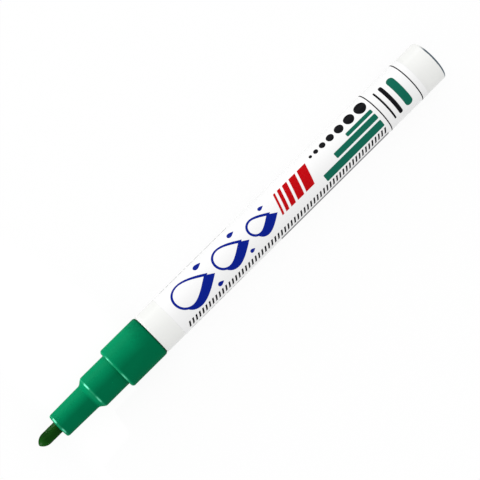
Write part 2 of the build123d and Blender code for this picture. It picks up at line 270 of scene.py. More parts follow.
class MarkerStage(bpy.types.PropertyGroup):
    """Camera, floor and light."""

    camera_foot: offset("Place along the marker that the camera hangs over", -42.0)
    camera_rise: length("Camera's height over the marker's axis", 438.6)
    camera_lean: angle("Tilt of the camera towards the tail", 5.75)
    camera_sway: angle("Tilt of the camera across the marker", 0.158)
    camera_turn: angle("How far the marker rises to the right in the picture", 44.67)
    lens: amount("Focal length in millimetres", 137.8, unit="CAMERA")
    near: length("Nearest distance that the camera sees", 10.0)
    floor_size: length("Side of the floor", 6000.0)
    floor_bounce: amount("Share of the light that the floor gives back to the marker", 0.6)
    floor_glow: amount("How far the floor's shadows are lifted to white for the eye", 0.9)
    key: amount("Power of the soft lamp beside the marker, in watts", 0.5, unit="POWER")
    key_place: location("Place of that lamp", -50.0, 600.0, 140.0)
    key_width: length("Width of that lamp", 600.0)
    key_height: length("Height of that lamp", 200.0)
    front: amount("Power of the low lamp in front of the nib, in watts", 15.0, unit="POWER")
    front_place: location("Place of that lamp", -1200.0, 0.0, 35.0)
    front_width: length("Width of that lamp", 400.0)
    front_height: length("Height of that lamp", 50.0)
    side: amount("Power of the lamp that models the front section, in watts", 5.9, unit="POWER")
    side_place: location("Place of that lamp", -65.0, 350.0, 62.0)
    side_aim: offset("Place along the marker that it points to", -45.5)
    side_cone: angle("Cone of that lamp", 5.1)
    side_blend: amount("Soft part of that cone", 0.12)
    side_size: length("Radius of that lamp", 3.0)
    sky_low: amount("Brightness of the surroundings at the horizon", 0.94)
    sky_high: amount("Brightness of the surroundings overhead", 0.92)
    sky_from: amount("How far up, from 0 to 1, the one starts to change into the other", 0.1)
    sky_to: amount("How far up that change ends", 0.8)
    sky_side: amount("How much brighter the surroundings are on the lit side", 0.16)


class Wire:
    """A value in a node tree, on which maths is written as a plain expression."""

    def __init__(self, tree, socket):
        self.tree = tree
        self.socket = socket

    def math(self, operation, *terms):
        """Add a maths node that works on those terms."""
        return self.tree.node("ShaderNodeMath", {"operation": operation}, dict(enumerate(terms)))

    def __add__(self, other):
        return self.math("ADD", self, other)

    def __radd__(self, other):
        return self.math("ADD", other, self)

    def __sub__(self, other):
        return self.math("SUBTRACT", self, other)

    def __rsub__(self, other):
        return self.math("SUBTRACT", other, self)

    def __mul__(self, other):
        return self.math("MULTIPLY", self, other)

    def __rmul__(self, other):
        return self.math("MULTIPLY", other, self)

    def __abs__(self):
        return self.math("ABSOLUTE", self)

    def cosine(self):
        """Cosine of an angle."""
        return self.math("COSINE", self)


class Tree:
    """The node tree of a finish or of the surroundings."""

    def __init__(self, owner):
        owner.use_nodes = True
        self.owner = owner
        self.nodes = owner.node_tree.nodes
        self.links = owner.node_tree.links
        self.nodes.clear()

    def node(self, kind, settings=(), sockets=(), output=0):
        """Add a node: its settings first, then a value or a link for each socket named."""
        made = self.nodes.new(kind)
        for key, value in dict(settings).items():
            setattr(made, key, value)
        for key, value in dict(sockets).items():
            if isinstance(value, Wire):
                self.links.new(value.socket, made.inputs[key])
            else:
                made.inputs[key].default_value = value
        return Wire(self, made.outputs[output]) if made.outputs else None

    def place(self):
        """Place on the piece, in metres."""
        return self.node("ShaderNodeTexCoord", output="Object")

    def along(self, axis):
        """One coordinate of that place."""
        return self.node("ShaderNodeSeparateXYZ", sockets={0: self.place()}, output=axis)

    def off_axis(self):
        """Distance from the marker's axis."""
        level = {"Vector": self.place(), "Location": (0, 0, -AXIS_UP), "Scale": (0, 1, 1)}
        across = self.node("ShaderNodeMapping", sockets=level)
        return self.node("ShaderNodeVectorMath", {"operation": "LENGTH"}, {0: across}, output="Value")

    def turned(self):
        """Angle round the marker's axis, from its top line."""
        across = self.along("Y")
        return across.math("ARCTAN2", across, self.along("Z") - AXIS_UP)

    def noise(self, size, detail=2.0, stretch=(1, 1, 1)):
        """Soft noise whose features are about that large, stretched along the axes."""
        scale = [1 / (size * share) for share in stretch]
        spot = self.node("ShaderNodeMapping", sockets={"Vector": self.place(), "Scale": scale})
        return self.node("ShaderNodeTexNoise", sockets={"Vector": spot, "Scale": 1.0, "Detail": detail})

    def ramp(self, value, low, high):
        """0 at low, 1 at high, smooth between."""
        limits = {"Value": value, "From Min": low, "From Max": high}
        return self.node("ShaderNodeMapRange", {"interpolation_type": "SMOOTHSTEP"}, limits)

    def mix(self, share, first, second):
        """Colour between two others."""
        return self.node("ShaderNodeMix", {"data_type": "RGBA"}, {0: share, 6: first, 7: second}, output=2)

    def shade(self, share, rgb, darkest, palest):
        """A colour that goes from a darker to a paler shade of it."""
        return self.mix(share, tone(rgb, darkest), tone(rgb, palest))

    def bump(self, height, depth):
        """Relief of that depth."""
        return self.node("ShaderNodeBump", sockets={"Height": height, "Distance": depth})

    def surface(self, **sockets):
        """Finish the tree with a shader whose sockets are named in words joined by underscores."""
        named = {key.replace("_", " "): value for key, value in sockets.items()}
        shader = self.node("ShaderNodeBsdfPrincipled", sockets=named)
        self.node("ShaderNodeOutputMaterial", sockets={"Surface": shader})
        return self.owner


def finish(name):
    """Start the node tree of a new finish."""
    return Tree(bpy.data.materials.new(name))


def tone(rgb, share=1.0):
    """A colour for a socket, made lighter or darker by a share."""
    return (*(min(1.0, part * share) for part in rgb), 1.0)


def fibre_finish(colours):
    """Pressed fibre, wet with paint: darker and paler strands along the nib."""
    tree = finish("wet_fibre")
    strands = tree.noise(size=0.16 * MM, detail=3.0, stretch=(14, 1, 1))
    clumps = tree.noise(size=0.9 * MM, detail=1.0, stretch=(3, 1, 1))
    paler = tree.ramp(strands * 0.7 + clumps * 0.3, low=0.34, high=0.66)
    return tree.surface(
        Base_Color=tree.mix(paler, tone(colours.fibre_dark), tone(colours.fibre)),
        Roughness=0.62 - paler * 0.2,
        Specular_IOR_Level=0.0,
        Coat_Weight=0.08,
        Coat_Roughness=0.4,
        Normal=tree.bump(paler, depth=0.02 * MM),
    )


def plastic_finish(colours, edges):
    """Satin moulded plastic: painted highlights on the edges, pale and glossy in spots, painted shade at
    the joint with the barrel, and a parting line.
    """
    tree = finish("moulded_green")
    cloud = tree.noise(size=4.0 * MM)
    grain = tree.noise(size=0.12 * MM, detail=3.0)
    patches = tree.ramp(tree.noise(size=2.5 * MM, detail=3.0), low=0.3, high=0.6)
    # Painted highlight: the edges are painted pale and made glossy in spots round the axis, where glints
    # fall, and faintly pale between the spots
    wave = (tree.turned() * PAINTED_GLINT_SPOTS).cosine()
    spots = tree.ramp(wave, low=0.3, high=-0.9) * (0.4 + patches * 0.6)
    parting = 1 - tree.ramp(abs(tree.along("Z") - AXIS_UP), low=0.02 * MM, high=0.06 * MM)
    place = tree.along("X")
    off = tree.off_axis()
    painted_glint_and_gloss = 0
    for x, radius, painted_light_term in edges:
        ring = painted_light_term - painted_light_term * tree.ramp(abs(place - x), low=0.06 * MM, high=0.3 * MM)
        outside = tree.ramp(off, low=radius - 0.7 * MM, high=radius - 0.4 * MM)
        painted_glint_and_gloss = painted_glint_and_gloss + ring * outside
    # Painted shade: the collar's rear next to the barrel's mouth is darkened, where shade falls in the
    # joint
    joint = tree.ramp(place, low=MOUTH - 0.5 * MM, high=MOUTH - 0.2 * MM)
    joint_shade = joint * (1 - tree.ramp(place, low=MOUTH, high=MOUTH + 0.1 * MM))
    green = tree.shade(cloud, colours.plastic, darkest=0.93, palest=1.07)
    green = tree.mix(painted_glint_and_gloss * (0.06 + spots * 0.8), green, tone(colours.rubbed_plastic))
    return tree.surface(
        Base_Color=tree.mix(joint_shade * 0.6, green, tone(colours.plastic, 0.2)),
        Roughness=0.5 + grain * 0.1,
        Specular_IOR_Level=0.008,
        Coat_Weight=painted_glint_and_gloss * spots * 0.6,
        Coat_Roughness=0.2,
        Normal=tree.bump(grain * 0.12 + parting, depth=0.012 * MM),
    )


def enamel_finish(colours, radius):
    """White enamel with a slight orange peel, bare inside, and painted shade round the tail's rim: dark
    dull metal on the side away from the light.
    """
    tree = finish("white_enamel")
    peel = tree.noise(size=0.7 * MM)
    cloud = tree.noise(size=7.0 * MM)
    # Painted shade round the tail's rim: a ragged dark metal ring that fades out towards the lit side
    painted_light_term = (tree.noise(size=0.6 * MM, detail=3.0) - 0.5) * (0.16 * MM)
    place = tree.along("X")
    off = tree.off_axis()
    rim_shade = tree.ramp(place + painted_light_term, low=TAIL - 0.64 * MM, high=TAIL - 0.46 * MM)
    rim_shade = rim_shade * tree.ramp(tree.along("Y"), low=4.4 * MM, high=2.2 * MM)
    rim_shade = rim_shade * tree.ramp(off + painted_light_term, low=radius - 0.5 * MM, high=radius - 0.32 * MM)
    hollow = 1 - tree.ramp(off, low=radius - 0.3 * MM, high=radius - 0.2 * MM)
    hollow = hollow * (1 - tree.ramp(place, low=TAIL - 0.6 * MM, high=TAIL - 0.5 * MM))
    bare_and_rim_shade = rim_shade + hollow
    paint = tree.shade(cloud, colours.enamel, darkest=0.985, palest=1.015)
    outside = tree.mix(rim_shade, paint, tone(colours.metal))
    return tree.surface(
        Base_Color=tree.mix(hollow, outside, tone(colours.bright_metal)),
        Metallic=bare_and_rim_shade,
        Roughness=0.3 + peel * 0.06 + bare_and_rim_shade * 0.1,
        Specular_IOR_Level=0.08,
        Coat_Weight=0.35 - bare_and_rim_shade * 0.35,
        Coat_Roughness=0.12,
        Normal=tree.bump(peel, depth=0.004 * MM),
    )


def film_finish(colours):
    """White film: gloss, drawn tight with faint ripples, a little grey along its cut ends."""
    tree = finish("white_film")
    ripple = tree.noise(size=2.6 * MM, detail=1.0, stretch=(1, 4, 4))
    cloud = tree.noise(size=9.0 * MM)
    place = tree.along("X")
    front_cut = 1 - tree.ramp(place, low=FILM_FRONT, high=FILM_FRONT + 0.22 * MM)
    rear_cut = tree.ramp(place, low=FILM_REAR - 0.22 * MM, high=FILM_REAR)
    white = tree.shade(cloud, colours.film, darkest=0.985, palest=1.01)
    return tree.surface(
        Base_Color=tree.mix((front_cut + rear_cut) * 0.3, white, tone(colours.film, 0.72)),
        Roughness=0.22 + ripple * 0.08,
        Specular_IOR_Level=0.08,
        Coat_Weight=0.4,
        Coat_Roughness=0.08,
        Normal=tree.bump(ripple, depth=0.006 * MM),
    )


def ink_finish(name, rgb, uneven=0.08):
    """Printed ink: laid a little unevenly, under a thin gloss."""
    tree = finish(name)
    mottle = tree.noise(size=0.5 * MM, detail=3.0)
    lay = tree.noise(size=0.1 * MM)
    return tree.surface(
        Base_Color=tree.shade(mottle, rgb, darkest=1 - uneven, palest=1 + uneven),
        Roughness=0.26 + lay * 0.1,
        Specular_IOR_Level=0.0,
        Coat_Weight=0.08,
        Coat_Roughness=0.12,
        Normal=tree.bump(lay, depth=0.001 * MM),
    )


def natural_finish(colours):
    """Milky plastic of the valve pieces, with fine turning marks."""
    tree = finish("natural_plastic")
    cloud = tree.noise(size=1.5 * MM)
    marks = tree.noise(size=0.06 * MM, stretch=(1, 30, 30))
    return tree.surface(
        Base_Color=tree.shade(cloud, colours.natural, darkest=0.94, palest=1.04),
        Roughness=0.4 + marks * 0.1,
        Normal=tree.bump(marks, depth=0.003 * MM),
    )


def rubber_finish(colours):
    """Matt black rubber with a dusty bloom."""
    tree = finish("black_rubber")
    bloom = tree.noise(size=0.6 * MM, detail=4.0)
    return tree.surface(
        Base_Color=tree.shade(bloom, colours.rubber, darkest=0.7, palest=1.8),
        Roughness=0.7 + bloom * 0.15,
        Normal=tree.bump(bloom, depth=0.008 * MM),
    )


def steel_finish(name, colours, roughness):
    """Steel with faint scratches."""
    tree = finish(name)
    scratches = tree.noise(size=0.05 * MM, stretch=(1, 12, 3))
    cloud = tree.noise(size=1.2 * MM)
    return tree.surface(
        Base_Color=tree.shade(cloud, colours.steel, darkest=0.92, palest=1.05),
        Metallic=1.0,
        Roughness=roughness + scratches * 0.12,
        Normal=tree.bump(scratches, depth=0.001 * MM),
    )


def keep_points(piece, wanted):
    """In edit mode, keep only those points selected whose place passes a test."""
    mesh = bmesh.from_edit_mesh(piece.data)
    bpy.context.tool_settings.mesh_select_mode = (True, False, False)
    chosen = [point for point in mesh.verts if point.select and wanted(piece.matrix_world @ point.co)]
    if not chosen:
        raise ValueError(f"{piece.name} has no such point")
    bpy.ops.mesh.select_all(action="DESELECT")
    for point in chosen:
        point.select_set(True)
    mesh.select_flush_mode()
    bmesh.update_edit_mesh(piece.data)


def select_ring(piece, x, radius):
    """In edit mode, select the edges of the ring at that place."""
    bpy.context.tool_settings.mesh_select_mode = (False, True, False)
    bpy.ops.mesh.select_all(action="DESELECT")
    mesh = bmesh.from_edit_mesh(piece.data)
    for edge in mesh.edges:
        spots = [piece.matrix_world @ point.co for point in edge.verts]
        reach = [(spot.x - x, Vector((spot.y, spot.z - AXIS_UP)).length - radius) for spot in spots]
        edge.select_set(all(max(abs(off), abs(rise)) < SAME_PLACE for off, rise in reach))
    if not any(edge.select for edge in mesh.edges):
        raise ValueError(f"{piece.name} has no ring at {x}, {radius}")
    bmesh.update_edit_mesh(piece.data)


def arc(x, middle, reach, first, last):
    """Points of an arc about (x, middle), from one angle to another, where 0 points to the nib."""
    steps = bpy.context.scene.marker_sizes.arc_steps
    ways = [first + (last - first) * step / steps for step in range(steps + 1)]
    return [(x - reach * cos(way), middle + reach * sin(way)) for way in ways]


def brace(outline, rounds):
    """Add a point beside each corner that gets rounded, so that the long faces next to it shade flat."""
    away = {(x, radius): BRACE * size for x, radius, size in rounds}
    braced = []
    for here, following in zip(outline, outline[1:]):
        way = (Vector(following) - Vector(here)).normalized()
        braced.append(here)
        if here in away:
            braced.append(tuple(Vector(here) + way * away[here]))
        if following in away:
            braced.append(tuple(Vector(following) - way * away[following]))
    return [*braced, outline[-1]]


def close_up():
    """In edit mode, join the places of a swept mesh that meet, fill its open ends and face it outwards."""
    bpy.ops.mesh.select_all(action="SELECT")
    bpy.ops.mesh.remove_doubles(threshold=SAME_PLACE)
    bpy.ops.mesh.fill_holes(sides=0)
    bpy.ops.mesh.select_all(action="SELECT")
    bpy.ops.mesh.normals_make_consistent(inside=False)


def turn(name, outline, rounds=(), start=0.0, sweep=FULL_TURN):
    """Turn an outline of (x, radius) points about the marker's axis and round some of its rings."""
    sizes = bpy.context.scene.marker_sizes
    outward = Vector((0, sin(start), cos(start)))
    spots = [Vector((x, 0, AXIS_UP)) + radius * outward for x, radius in brace(outline, rounds)]
    bpy.ops.mesh.primitive_plane_add(size=MM, location=spots[0])
    piece = bpy.context.object
    piece.name = name
    bpy.ops.object.mode_set(mode="EDIT")
    bpy.ops.mesh.select_mode(type="VERT")
    bpy.ops.mesh.merge(type="CENTER")
    for spot, following in zip(spots, spots[1:]):
        bpy.ops.mesh.extrude_vertices_move(TRANSFORM_OT_translate={"value": following - spot})
    bpy.ops.mesh.select_all(action="SELECT")
    bpy.ops.mesh.spin(steps=sizes.segments, angle=sweep, center=(0, 0, AXIS_UP), axis=(1, 0, 0))
    close_up()
    for x, radius, size in rounds:
        select_ring(piece, x, radius)
        bpy.ops.mesh.bevel(offset=size, segments=sizes.round_steps, affect="EDGES")
    bpy.ops.object.mode_set(mode="OBJECT")
    settle(piece)
    return piece


def settle(piece):
    """Put a piece's place into its mesh and shade its smooth faces."""
    bpy.ops.object.select_all(action="DESELECT")
    piece.select_set(True)
    bpy.context.view_layer.objects.active = piece
    bpy.ops.object.transform_apply()
    bpy.ops.object.shade_smooth_by_angle(angle=SMOOTH_UNDER)


def dress(piece, body, slot, material, *nodes):
    """Give a piece its finish and its body, and hide the CAD nodes that it stands for."""
    piece.data.materials.clear()
    piece.data.materials.append(material)
    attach(piece, body)
    if nodes:
        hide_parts(*nodes)


def new_sheet(name):
    """Start a flat sheet of artwork in edit mode: x along the marker, y round it from its top line."""
    bpy.ops.mesh.primitive_plane_add(size=MM)
    sheet = bpy.context.object
    sheet.name = name
    bpy.ops.object.mode_set(mode="EDIT")
    bpy.ops.mesh.delete(type="VERT")
    return sheet


def add_bar(sheet, x, y, wide, high, slant=0.0, corner=0.0):
    """Add a bar to a sheet, leaning or with rounded corners, and leave it selected."""
    bpy.ops.mesh.select_all(action="DESELECT")
    bpy.ops.mesh.primitive_plane_add(size=1, location=(x, y, 0))
    bpy.ops.transform.resize(value=(wide, high, 1), center_override=(x, y, 0))
    if slant:
        keep_points(sheet, lambda spot: spot.y > y)
        bpy.ops.transform.translate(value=(slant, 0, 0))
        bpy.ops.mesh.select_linked()
    if corner:
        steps = bpy.context.scene.marker_print.corner_steps
        bpy.ops.mesh.bevel(offset=corner, segments=steps, affect="VERTICES")


def add_disc(x, y, radius):
    """Add a disc to a sheet and leave it selected."""
    sides = bpy.context.scene.marker_print.disc_sides
    bpy.ops.mesh.select_all(action="DESELECT")
    bpy.ops.mesh.primitive_circle_add(vertices=sides, radius=radius, fill_type="NGON", location=(x, y, 0))


def add_drop(sheet, x, y, radius):
    """Add a drop to a sheet: a disc whose rear is drawn out to a point, and leave it selected."""
    design = bpy.context.scene.marker_print
    rear = x + radius - SAME_PLACE
    add_disc(x, y, radius)
    keep_points(sheet, lambda spot: spot.x > rear)
    bpy.ops.transform.translate(
        value=(design.drop_pull * radius, 0, 0),
        use_proportional_edit=True,
        use_proportional_connected=True,
        proportional_edit_falloff="SHARP",
        proportional_size=design.drop_spread * radius,
    )
    bpy.ops.mesh.select_linked()


def wrap(sheet, ink, layer=0):
    """Cut artwork into narrow rows, give it an ink and its thickness, and bend it onto the film."""
    design = bpy.context.scene.marker_print
    radius = bpy.context.scene.marker_sizes.film + design.ink_lift + layer * (design.ink + design.ink_lift)
    reach = max(abs(point.co.y) for point in bmesh.from_edit_mesh(sheet.data).verts)
    rows = int(reach / design.row)
    for row in range(-rows, rows + 1):
        bpy.ops.mesh.select_all(action="SELECT")
        bpy.ops.mesh.bisect(plane_co=(0, row * design.row, 0), plane_no=(0, 1, 0))
    bpy.ops.object.mode_set(mode="OBJECT")
    thicken = sheet.modifiers.new("thicken", "SOLIDIFY")
    thicken.thickness = design.ink
    thicken.offset = 1
    bpy.ops.object.modifier_apply(modifier=thicken.name)
    sheet.rotation_euler.x = pi / 2
    bpy.ops.object.transform_apply()
    bend = sheet.modifiers.new("bend", "SIMPLE_DEFORM")
    bend.deform_method = "BEND"
    bend.deform_axis = "X"
    bend.angle = sheet.dimensions.z / radius
    bpy.ops.object.modifier_apply(modifier=bend.name)
    sheet.rotation_euler.x = -pi / 2
    sheet.location.z = AXIS_UP + radius
    settle(sheet)
    dress(sheet, "body", "label_film", ink)


class MARKER_OT_turn_nib(bpy.types.Operator):
    """Turn the fibre nib: a small ball tip blended into the rod"""

    bl_idname = "marker.turn_nib"
    bl_label = "Turn Nib"

    def execute(self, context):
        sizes = context.scene.marker_sizes
        reach = sizes.nib_point - sizes.nib_tip
        blend = (reach**2 + sizes.nib**2 - sizes.nib_tip**2) / (2 * (sizes.nib - sizes.nib_tip))
        centre = NIB_FRONT + sizes.nib_point
        lean = Vector((reach, blend - sizes.nib)).angle_signed(Vector((1, 0)))
        ball = arc(NIB_FRONT + sizes.nib_tip, 0, sizes.nib_tip, 0, lean)
        flank = arc(centre, sizes.nib - blend, blend, lean, pi / 2)
        rod = [(centre + sizes.nib_tip / 2, sizes.nib), (NIB_REAR, sizes.nib), (NIB_REAR, 0)]
        nib = turn("fibre_nib", [*ball[:-1], *flank, *rod])
        dress(nib, "nib", "nib_fibre", fibre_finish(context.scene.marker_colours), "nib")
        return {"FINISHED"}


class MARKER_OT_mould_front(bpy.types.Operator):
    """Mould the stepped front section, with its bores and the vents round the nib"""

    bl_idname = "marker.mould_front"
    bl_label = "Mould Front Section"

    def execute(self, context):
        sizes = context.scene.marker_sizes
        cone = NOSE + sizes.nose_length
        cap_seat = cone + sizes.cone_length
        collar = cap_seat + sizes.cap_seat_length
        bead = CAGE_REAR - sizes.bead_setback
        guide = sizes.nib + sizes.nib_play
        valve_bore = sizes.valve_seat + FIT
        plug = sizes.barrel - sizes.barrel_wall - FIT
        seal_floor = plug - sizes.seal_depth
        rear = MOUTH - sizes.collar_fall
        rear_round = (sizes.collar_fall**2 + sizes.collar_drop**2) / (2 * sizes.collar_drop)
        rear_end = pi / 2 + asin(sizes.collar_fall / rear_round)
        outline = [
            (NOSE, guide),
            (NOSE, sizes.nose_front),
            (cone, sizes.nose_rear),
            (cap_seat, sizes.cap_seat),
            (collar, sizes.cap_seat),
            (collar, sizes.collar),
            (rear - sizes.collar_drop, sizes.collar),  # braces the long face before the arc
            *arc(rear, sizes.collar - rear_round, rear_round, pi / 2, rear_end),
            (MOUTH, plug),
            (SEAL_FRONT - FIT, plug),
            (SEAL_FRONT - FIT, seal_floor),
            (SEAL_REAR + FIT, seal_floor),
            (SEAL_REAR + FIT, plug),
            (PLUG_END, plug),
            (PLUG_END, valve_bore),
            (bead + sizes.bead, valve_bore),
            (bead, valve_bore + sizes.bead),
            (bead - sizes.bead, valve_bore),
            (VALVE_SEAT, valve_bore),
            (VALVE_SEAT, sizes.holder_bore),
            (HOLDER_STOP, sizes.holder_bore),
            (HOLDER_STOP, guide),
            (NOSE, guide),
        ]
        rounds = [
            (NOSE, sizes.nose_front, sizes.nose_edge),
            (cone, sizes.nose_rear, sizes.cone_foot),
            (cap_seat, sizes.cap_seat, sizes.cap_seat_edge),
            (collar, sizes.collar, sizes.collar_edge),
            (PLUG_END, plug, sizes.plug_lead),
        ]
        front = turn("moulded_front", outline, rounds)
        self.cut_vents(front, guide, sizes)
        # Place along the marker, radius and strength of the painted highlight on each edge
        edges = (
            (NOSE + sizes.nose_edge * 0.8, sizes.nose_front, 0.9),
            (cap_seat - sizes.cap_seat_edge * 0.4, sizes.cap_seat, 0.9),
            (collar + sizes.collar_edge * 0.3, sizes.collar, 0.4),
        )
        material = plastic_finish(context.scene.marker_colours, edges)
        dress(front, "body", "green_plastic", material, "front_section")
        return {"FINISHED"}

    def cut_vents(self, front, guide, sizes):
        """Cut grooves along the nib guide with bars through its middle."""
        reach = 2 * (guide + sizes.vent_depth)
        run = HOLDER_STOP - NOSE + 2 * sizes.vent_overrun
        middle = ((NOSE + HOLDER_STOP) / 2, 0, AXIS_UP)
        bars = []
        for index in range(sizes.vents // 2):
            bpy.ops.mesh.primitive_cube_add(size=1, location=middle)
            bar = bpy.context.object
            bar.scale = (run, reach, sizes.vent_width)
            bar.rotation_euler.x = FULL_TURN * index / sizes.vents
            cut = front.modifiers.new("vent", "BOOLEAN")
            cut.operation = "DIFFERENCE"
            cut.object = bar
            bpy.context.view_layer.objects.active = front
            bpy.ops.object.modifier_apply(modifier=cut.name)
            bars.append(bar)
        bpy.ops.object.select_all(action="DESELECT")
        for bar in bars:
            bar.select_set(True)
        bpy.ops.object.delete()
        settle(front)


class MARKER_OT_draw_barrel(bpy.types.Operator):
    """Draw the barrel: a thin tube with a closed, rounded tail"""

    bl_idname = "marker.draw_barrel"
    bl_label = "Draw Barrel"

    def execute(self, context):
        sizes = context.scene.marker_sizes
        bore = sizes.barrel - sizes.barrel_wall
        floor = TAIL - sizes.tail_wall
        outline = [
            (TAIL, 0),
            (TAIL, sizes.barrel),
            (MOUTH, sizes.barrel),
            (MOUTH, bore),
            (floor, bore),
            (floor, 0),
        ]
        rounds = [
            (TAIL, sizes.barrel, sizes.tail_edge),
            (MOUTH, sizes.barrel, sizes.mouth_edge),
            (floor, bore, sizes.tail_edge),
        ]
        barrel = turn("enamelled_barrel", outline, rounds)
        material = enamel_finish(context.scene.marker_colours, sizes.barrel)
        dress(barrel, "body", "white_enamel", material, "barrel")
        return {"FINISHED"}


class MARKER_OT_wrap_film(bpy.types.Operator):
    """Wrap the white film round the barrel, with its seam underneath"""

    bl_idname = "marker.wrap_film"
    bl_label = "Wrap Film"

    def execute(self, context):
        sizes = context.scene.marker_sizes
        inner = sizes.film - sizes.film_thickness
        outline = [
            (FILM_FRONT, inner),
            (FILM_FRONT, sizes.film),
            (FILM_REAR, sizes.film),
            (FILM_REAR, inner),
            (FILM_FRONT, inner),
        ]
        sweep = FULL_TURN - sizes.film_seam / sizes.film
        film = turn("white_film", outline, start=-sweep / 2, sweep=sweep)
        dress(film, "body", "label_film", film_finish(context.scene.marker_colours), "label_wrap")
        return {"FINISHED"}


class MARKER_OT_print_stripes(bpy.types.Operator):
    """Print slanted red stripes of rising width"""

    bl_idname = "marker.print_stripes"
    bl_label = "Print Stripes"

    # In millimetres
    WIDTHS = (0.6, 1.0, 1.5, 2.1, 2.8)

    def execute(self, context):
        design = context.scene.marker_print
        sheet = new_sheet("ink_red")
        x = design.stripe_start
        for width in self.WIDTHS:
            wide = width * MM
            middle = x + wide / 2
            add_bar(sheet, middle, design.stripe_rise, wide, design.stripe_height, design.stripe_slant)
            x += wide + design.stripe_gap
        wrap(sheet, ink_finish("red_ink", context.scene.marker_colours.red))
        return {"FINISHED"}


class MARKER_OT_print_drops(bpy.types.Operator):
    """Print flying drops: white faces with a blue rim and a blue shadow, and small blue ones between"""

    bl_idname = "marker.print_drops"
    bl_label = "Print Drops"

    # Place along the marker, place round it and radius, in millimetres
    FACES = ((-16.8, 1.1, 3.0), (-4.2, 1.0, 2.4), (6.4, 0.9, 1.8))
    SPECKS = ((-10.4, 4.4, 0.8), (-9.0, -3.1, 0.6), (0.6, 4.1, 0.7), (1.9, -2.8, 0.5), (10.2, 3.4, 0.55))

    def execute(self, context):
        colours = context.scene.marker_colours
        design = context.scene.marker_print
        blue = ink_finish("blue_ink", colours.blue)
        white = ink_finish("white_ink", colours.film, uneven=0.012)
        layers = (
            ("ink_blue", blue, design.drop_rim, design.shadow_shift, self.SPECKS),
            ("ink_blue_rim", blue, design.drop_rim, 0, ()),
            ("ink_white", white, 0, 0, ()),
        )
        for layer, (name, ink, rim, shift, specks) in enumerate(layers):
            sheet = new_sheet(name)
            for x, y, radius in self.FACES:
                add_drop(sheet, x * MM + shift, y * MM - shift, radius * MM + rim)
            for x, y, radius in specks:
                add_drop(sheet, x * MM, y * MM, radius * MM)
            wrap(sheet, ink, layer)
        return {"FINISHED"}


class MARKER_OT_print_bars(bpy.types.Operator):
    """Print stepped green bars, and a broad green stroke between the two rings"""

    bl_idname = "marker.print_bars"
    bl_label = "Print Bars"

    # Place round the marker, width and height of each bar, in millimetres
    BARS = ((-2.9, 19.4, 2.0), (-0.6, 14.0, 1.5), (1.1, 8.6, 1.0))
    # Place along the marker, width and rounding, in millimetres
    STROKE = (54.3, 2.2, 1.05)

    def execute(self, context):
        design = context.scene.marker_print
        sheet = new_sheet("ink_green")
        for y, wide, high in self.BARS:
            middle = design.bar_end - wide * MM / 2
            add_bar(sheet, middle, y * MM, wide * MM, high * MM, corner=design.bar_corner)
        x, wide, corner = [part * MM for part in self.STROKE]
        add_bar(sheet, x, design.stroke_rise, wide, design.stroke_height, corner=corner)
        wrap(sheet, ink_finish("green_ink", context.scene.marker_colours.green))
        return {"FINISHED"}


class MARKER_OT_print_black(bpy.types.Operator):
    """Print the black dots, rings, strokes and slanted ticks"""

    bl_idname = "marker.print_black"
    bl_label = "Print Black"

    # Places along the marker, in millimetres
    RINGS = (47.2, 57.85)
    # Place along the marker, width and rounding of each stroke, in millimetres
    STROKES = ((49.3, 0.5, 0.24), (51.3, 1.1, 0.528))

    def execute(self, context):
        design = context.scene.marker_print
        sheet = new_sheet("ink_black")
        x = design.dot_start
        for index in range(design.dots):
            radius = design.dot_radius + index * design.dot_growth
            add_disc(x + radius, design.dot_rise, radius)
            x += 2 * radius + design.dot_gap
        for ring in self.RINGS:
            add_bar(sheet, ring * MM, 0, design.ring_width, design.ring_length)
        for stroke in self.STROKES:
            x, wide, corner = [part * MM for part in stroke]
            add_bar(sheet, x, design.stroke_rise, wide, design.stroke_height, corner=corner)
        for index in range(design.ticks):
            x = design.tick_start + index * design.tick_pitch
            add_bar(sheet, x, design.tick_rise, design.tick_width, design.tick_height, design.tick_slant)
        wrap(sheet, ink_finish("black_ink", context.scene.marker_colours.black))
        return {"FINISHED"}


class MARKER_OT_print_grey(bpy.types.Operator):
    """Print the grey stripe under the ticks, and the grey dashes"""

    bl_idname = "marker.print_grey"
    bl_label = "Print Grey"

    # Place along the marker, place round it, width and height, in millimetres
    STRIPE = (27.7, -7.8, 36.6, 1.4)
    # Start, end and place round the marker of each row of dashes, in millimetres
    ROWS = ((-20.7, 1.0, 7.7), (-20.7, -3.6, -7.7))
    # Widths that the dashes take in turn, in millimetres
    DASHES = (1.6, 0.8, 2.4, 1.2, 0.6, 1.9)

    def execute(self, context):
        design = context.scene.marker_print
        sheet = new_sheet("ink_grey")
        add_bar(sheet, *(part * MM for part in self.STRIPE))
        for row in self.ROWS:
            x, last, y = [part * MM for part in row]
            widths = cycle(self.DASHES)
            while x < last:
                wide = next(widths) * MM
                add_bar(sheet, x + wide / 2, y, wide, design.dash_height)
                x += wide + design.dash_gap
        wrap(sheet, ink_finish("grey_ink", context.scene.marker_colours.grey))
        return {"FINISHED"}


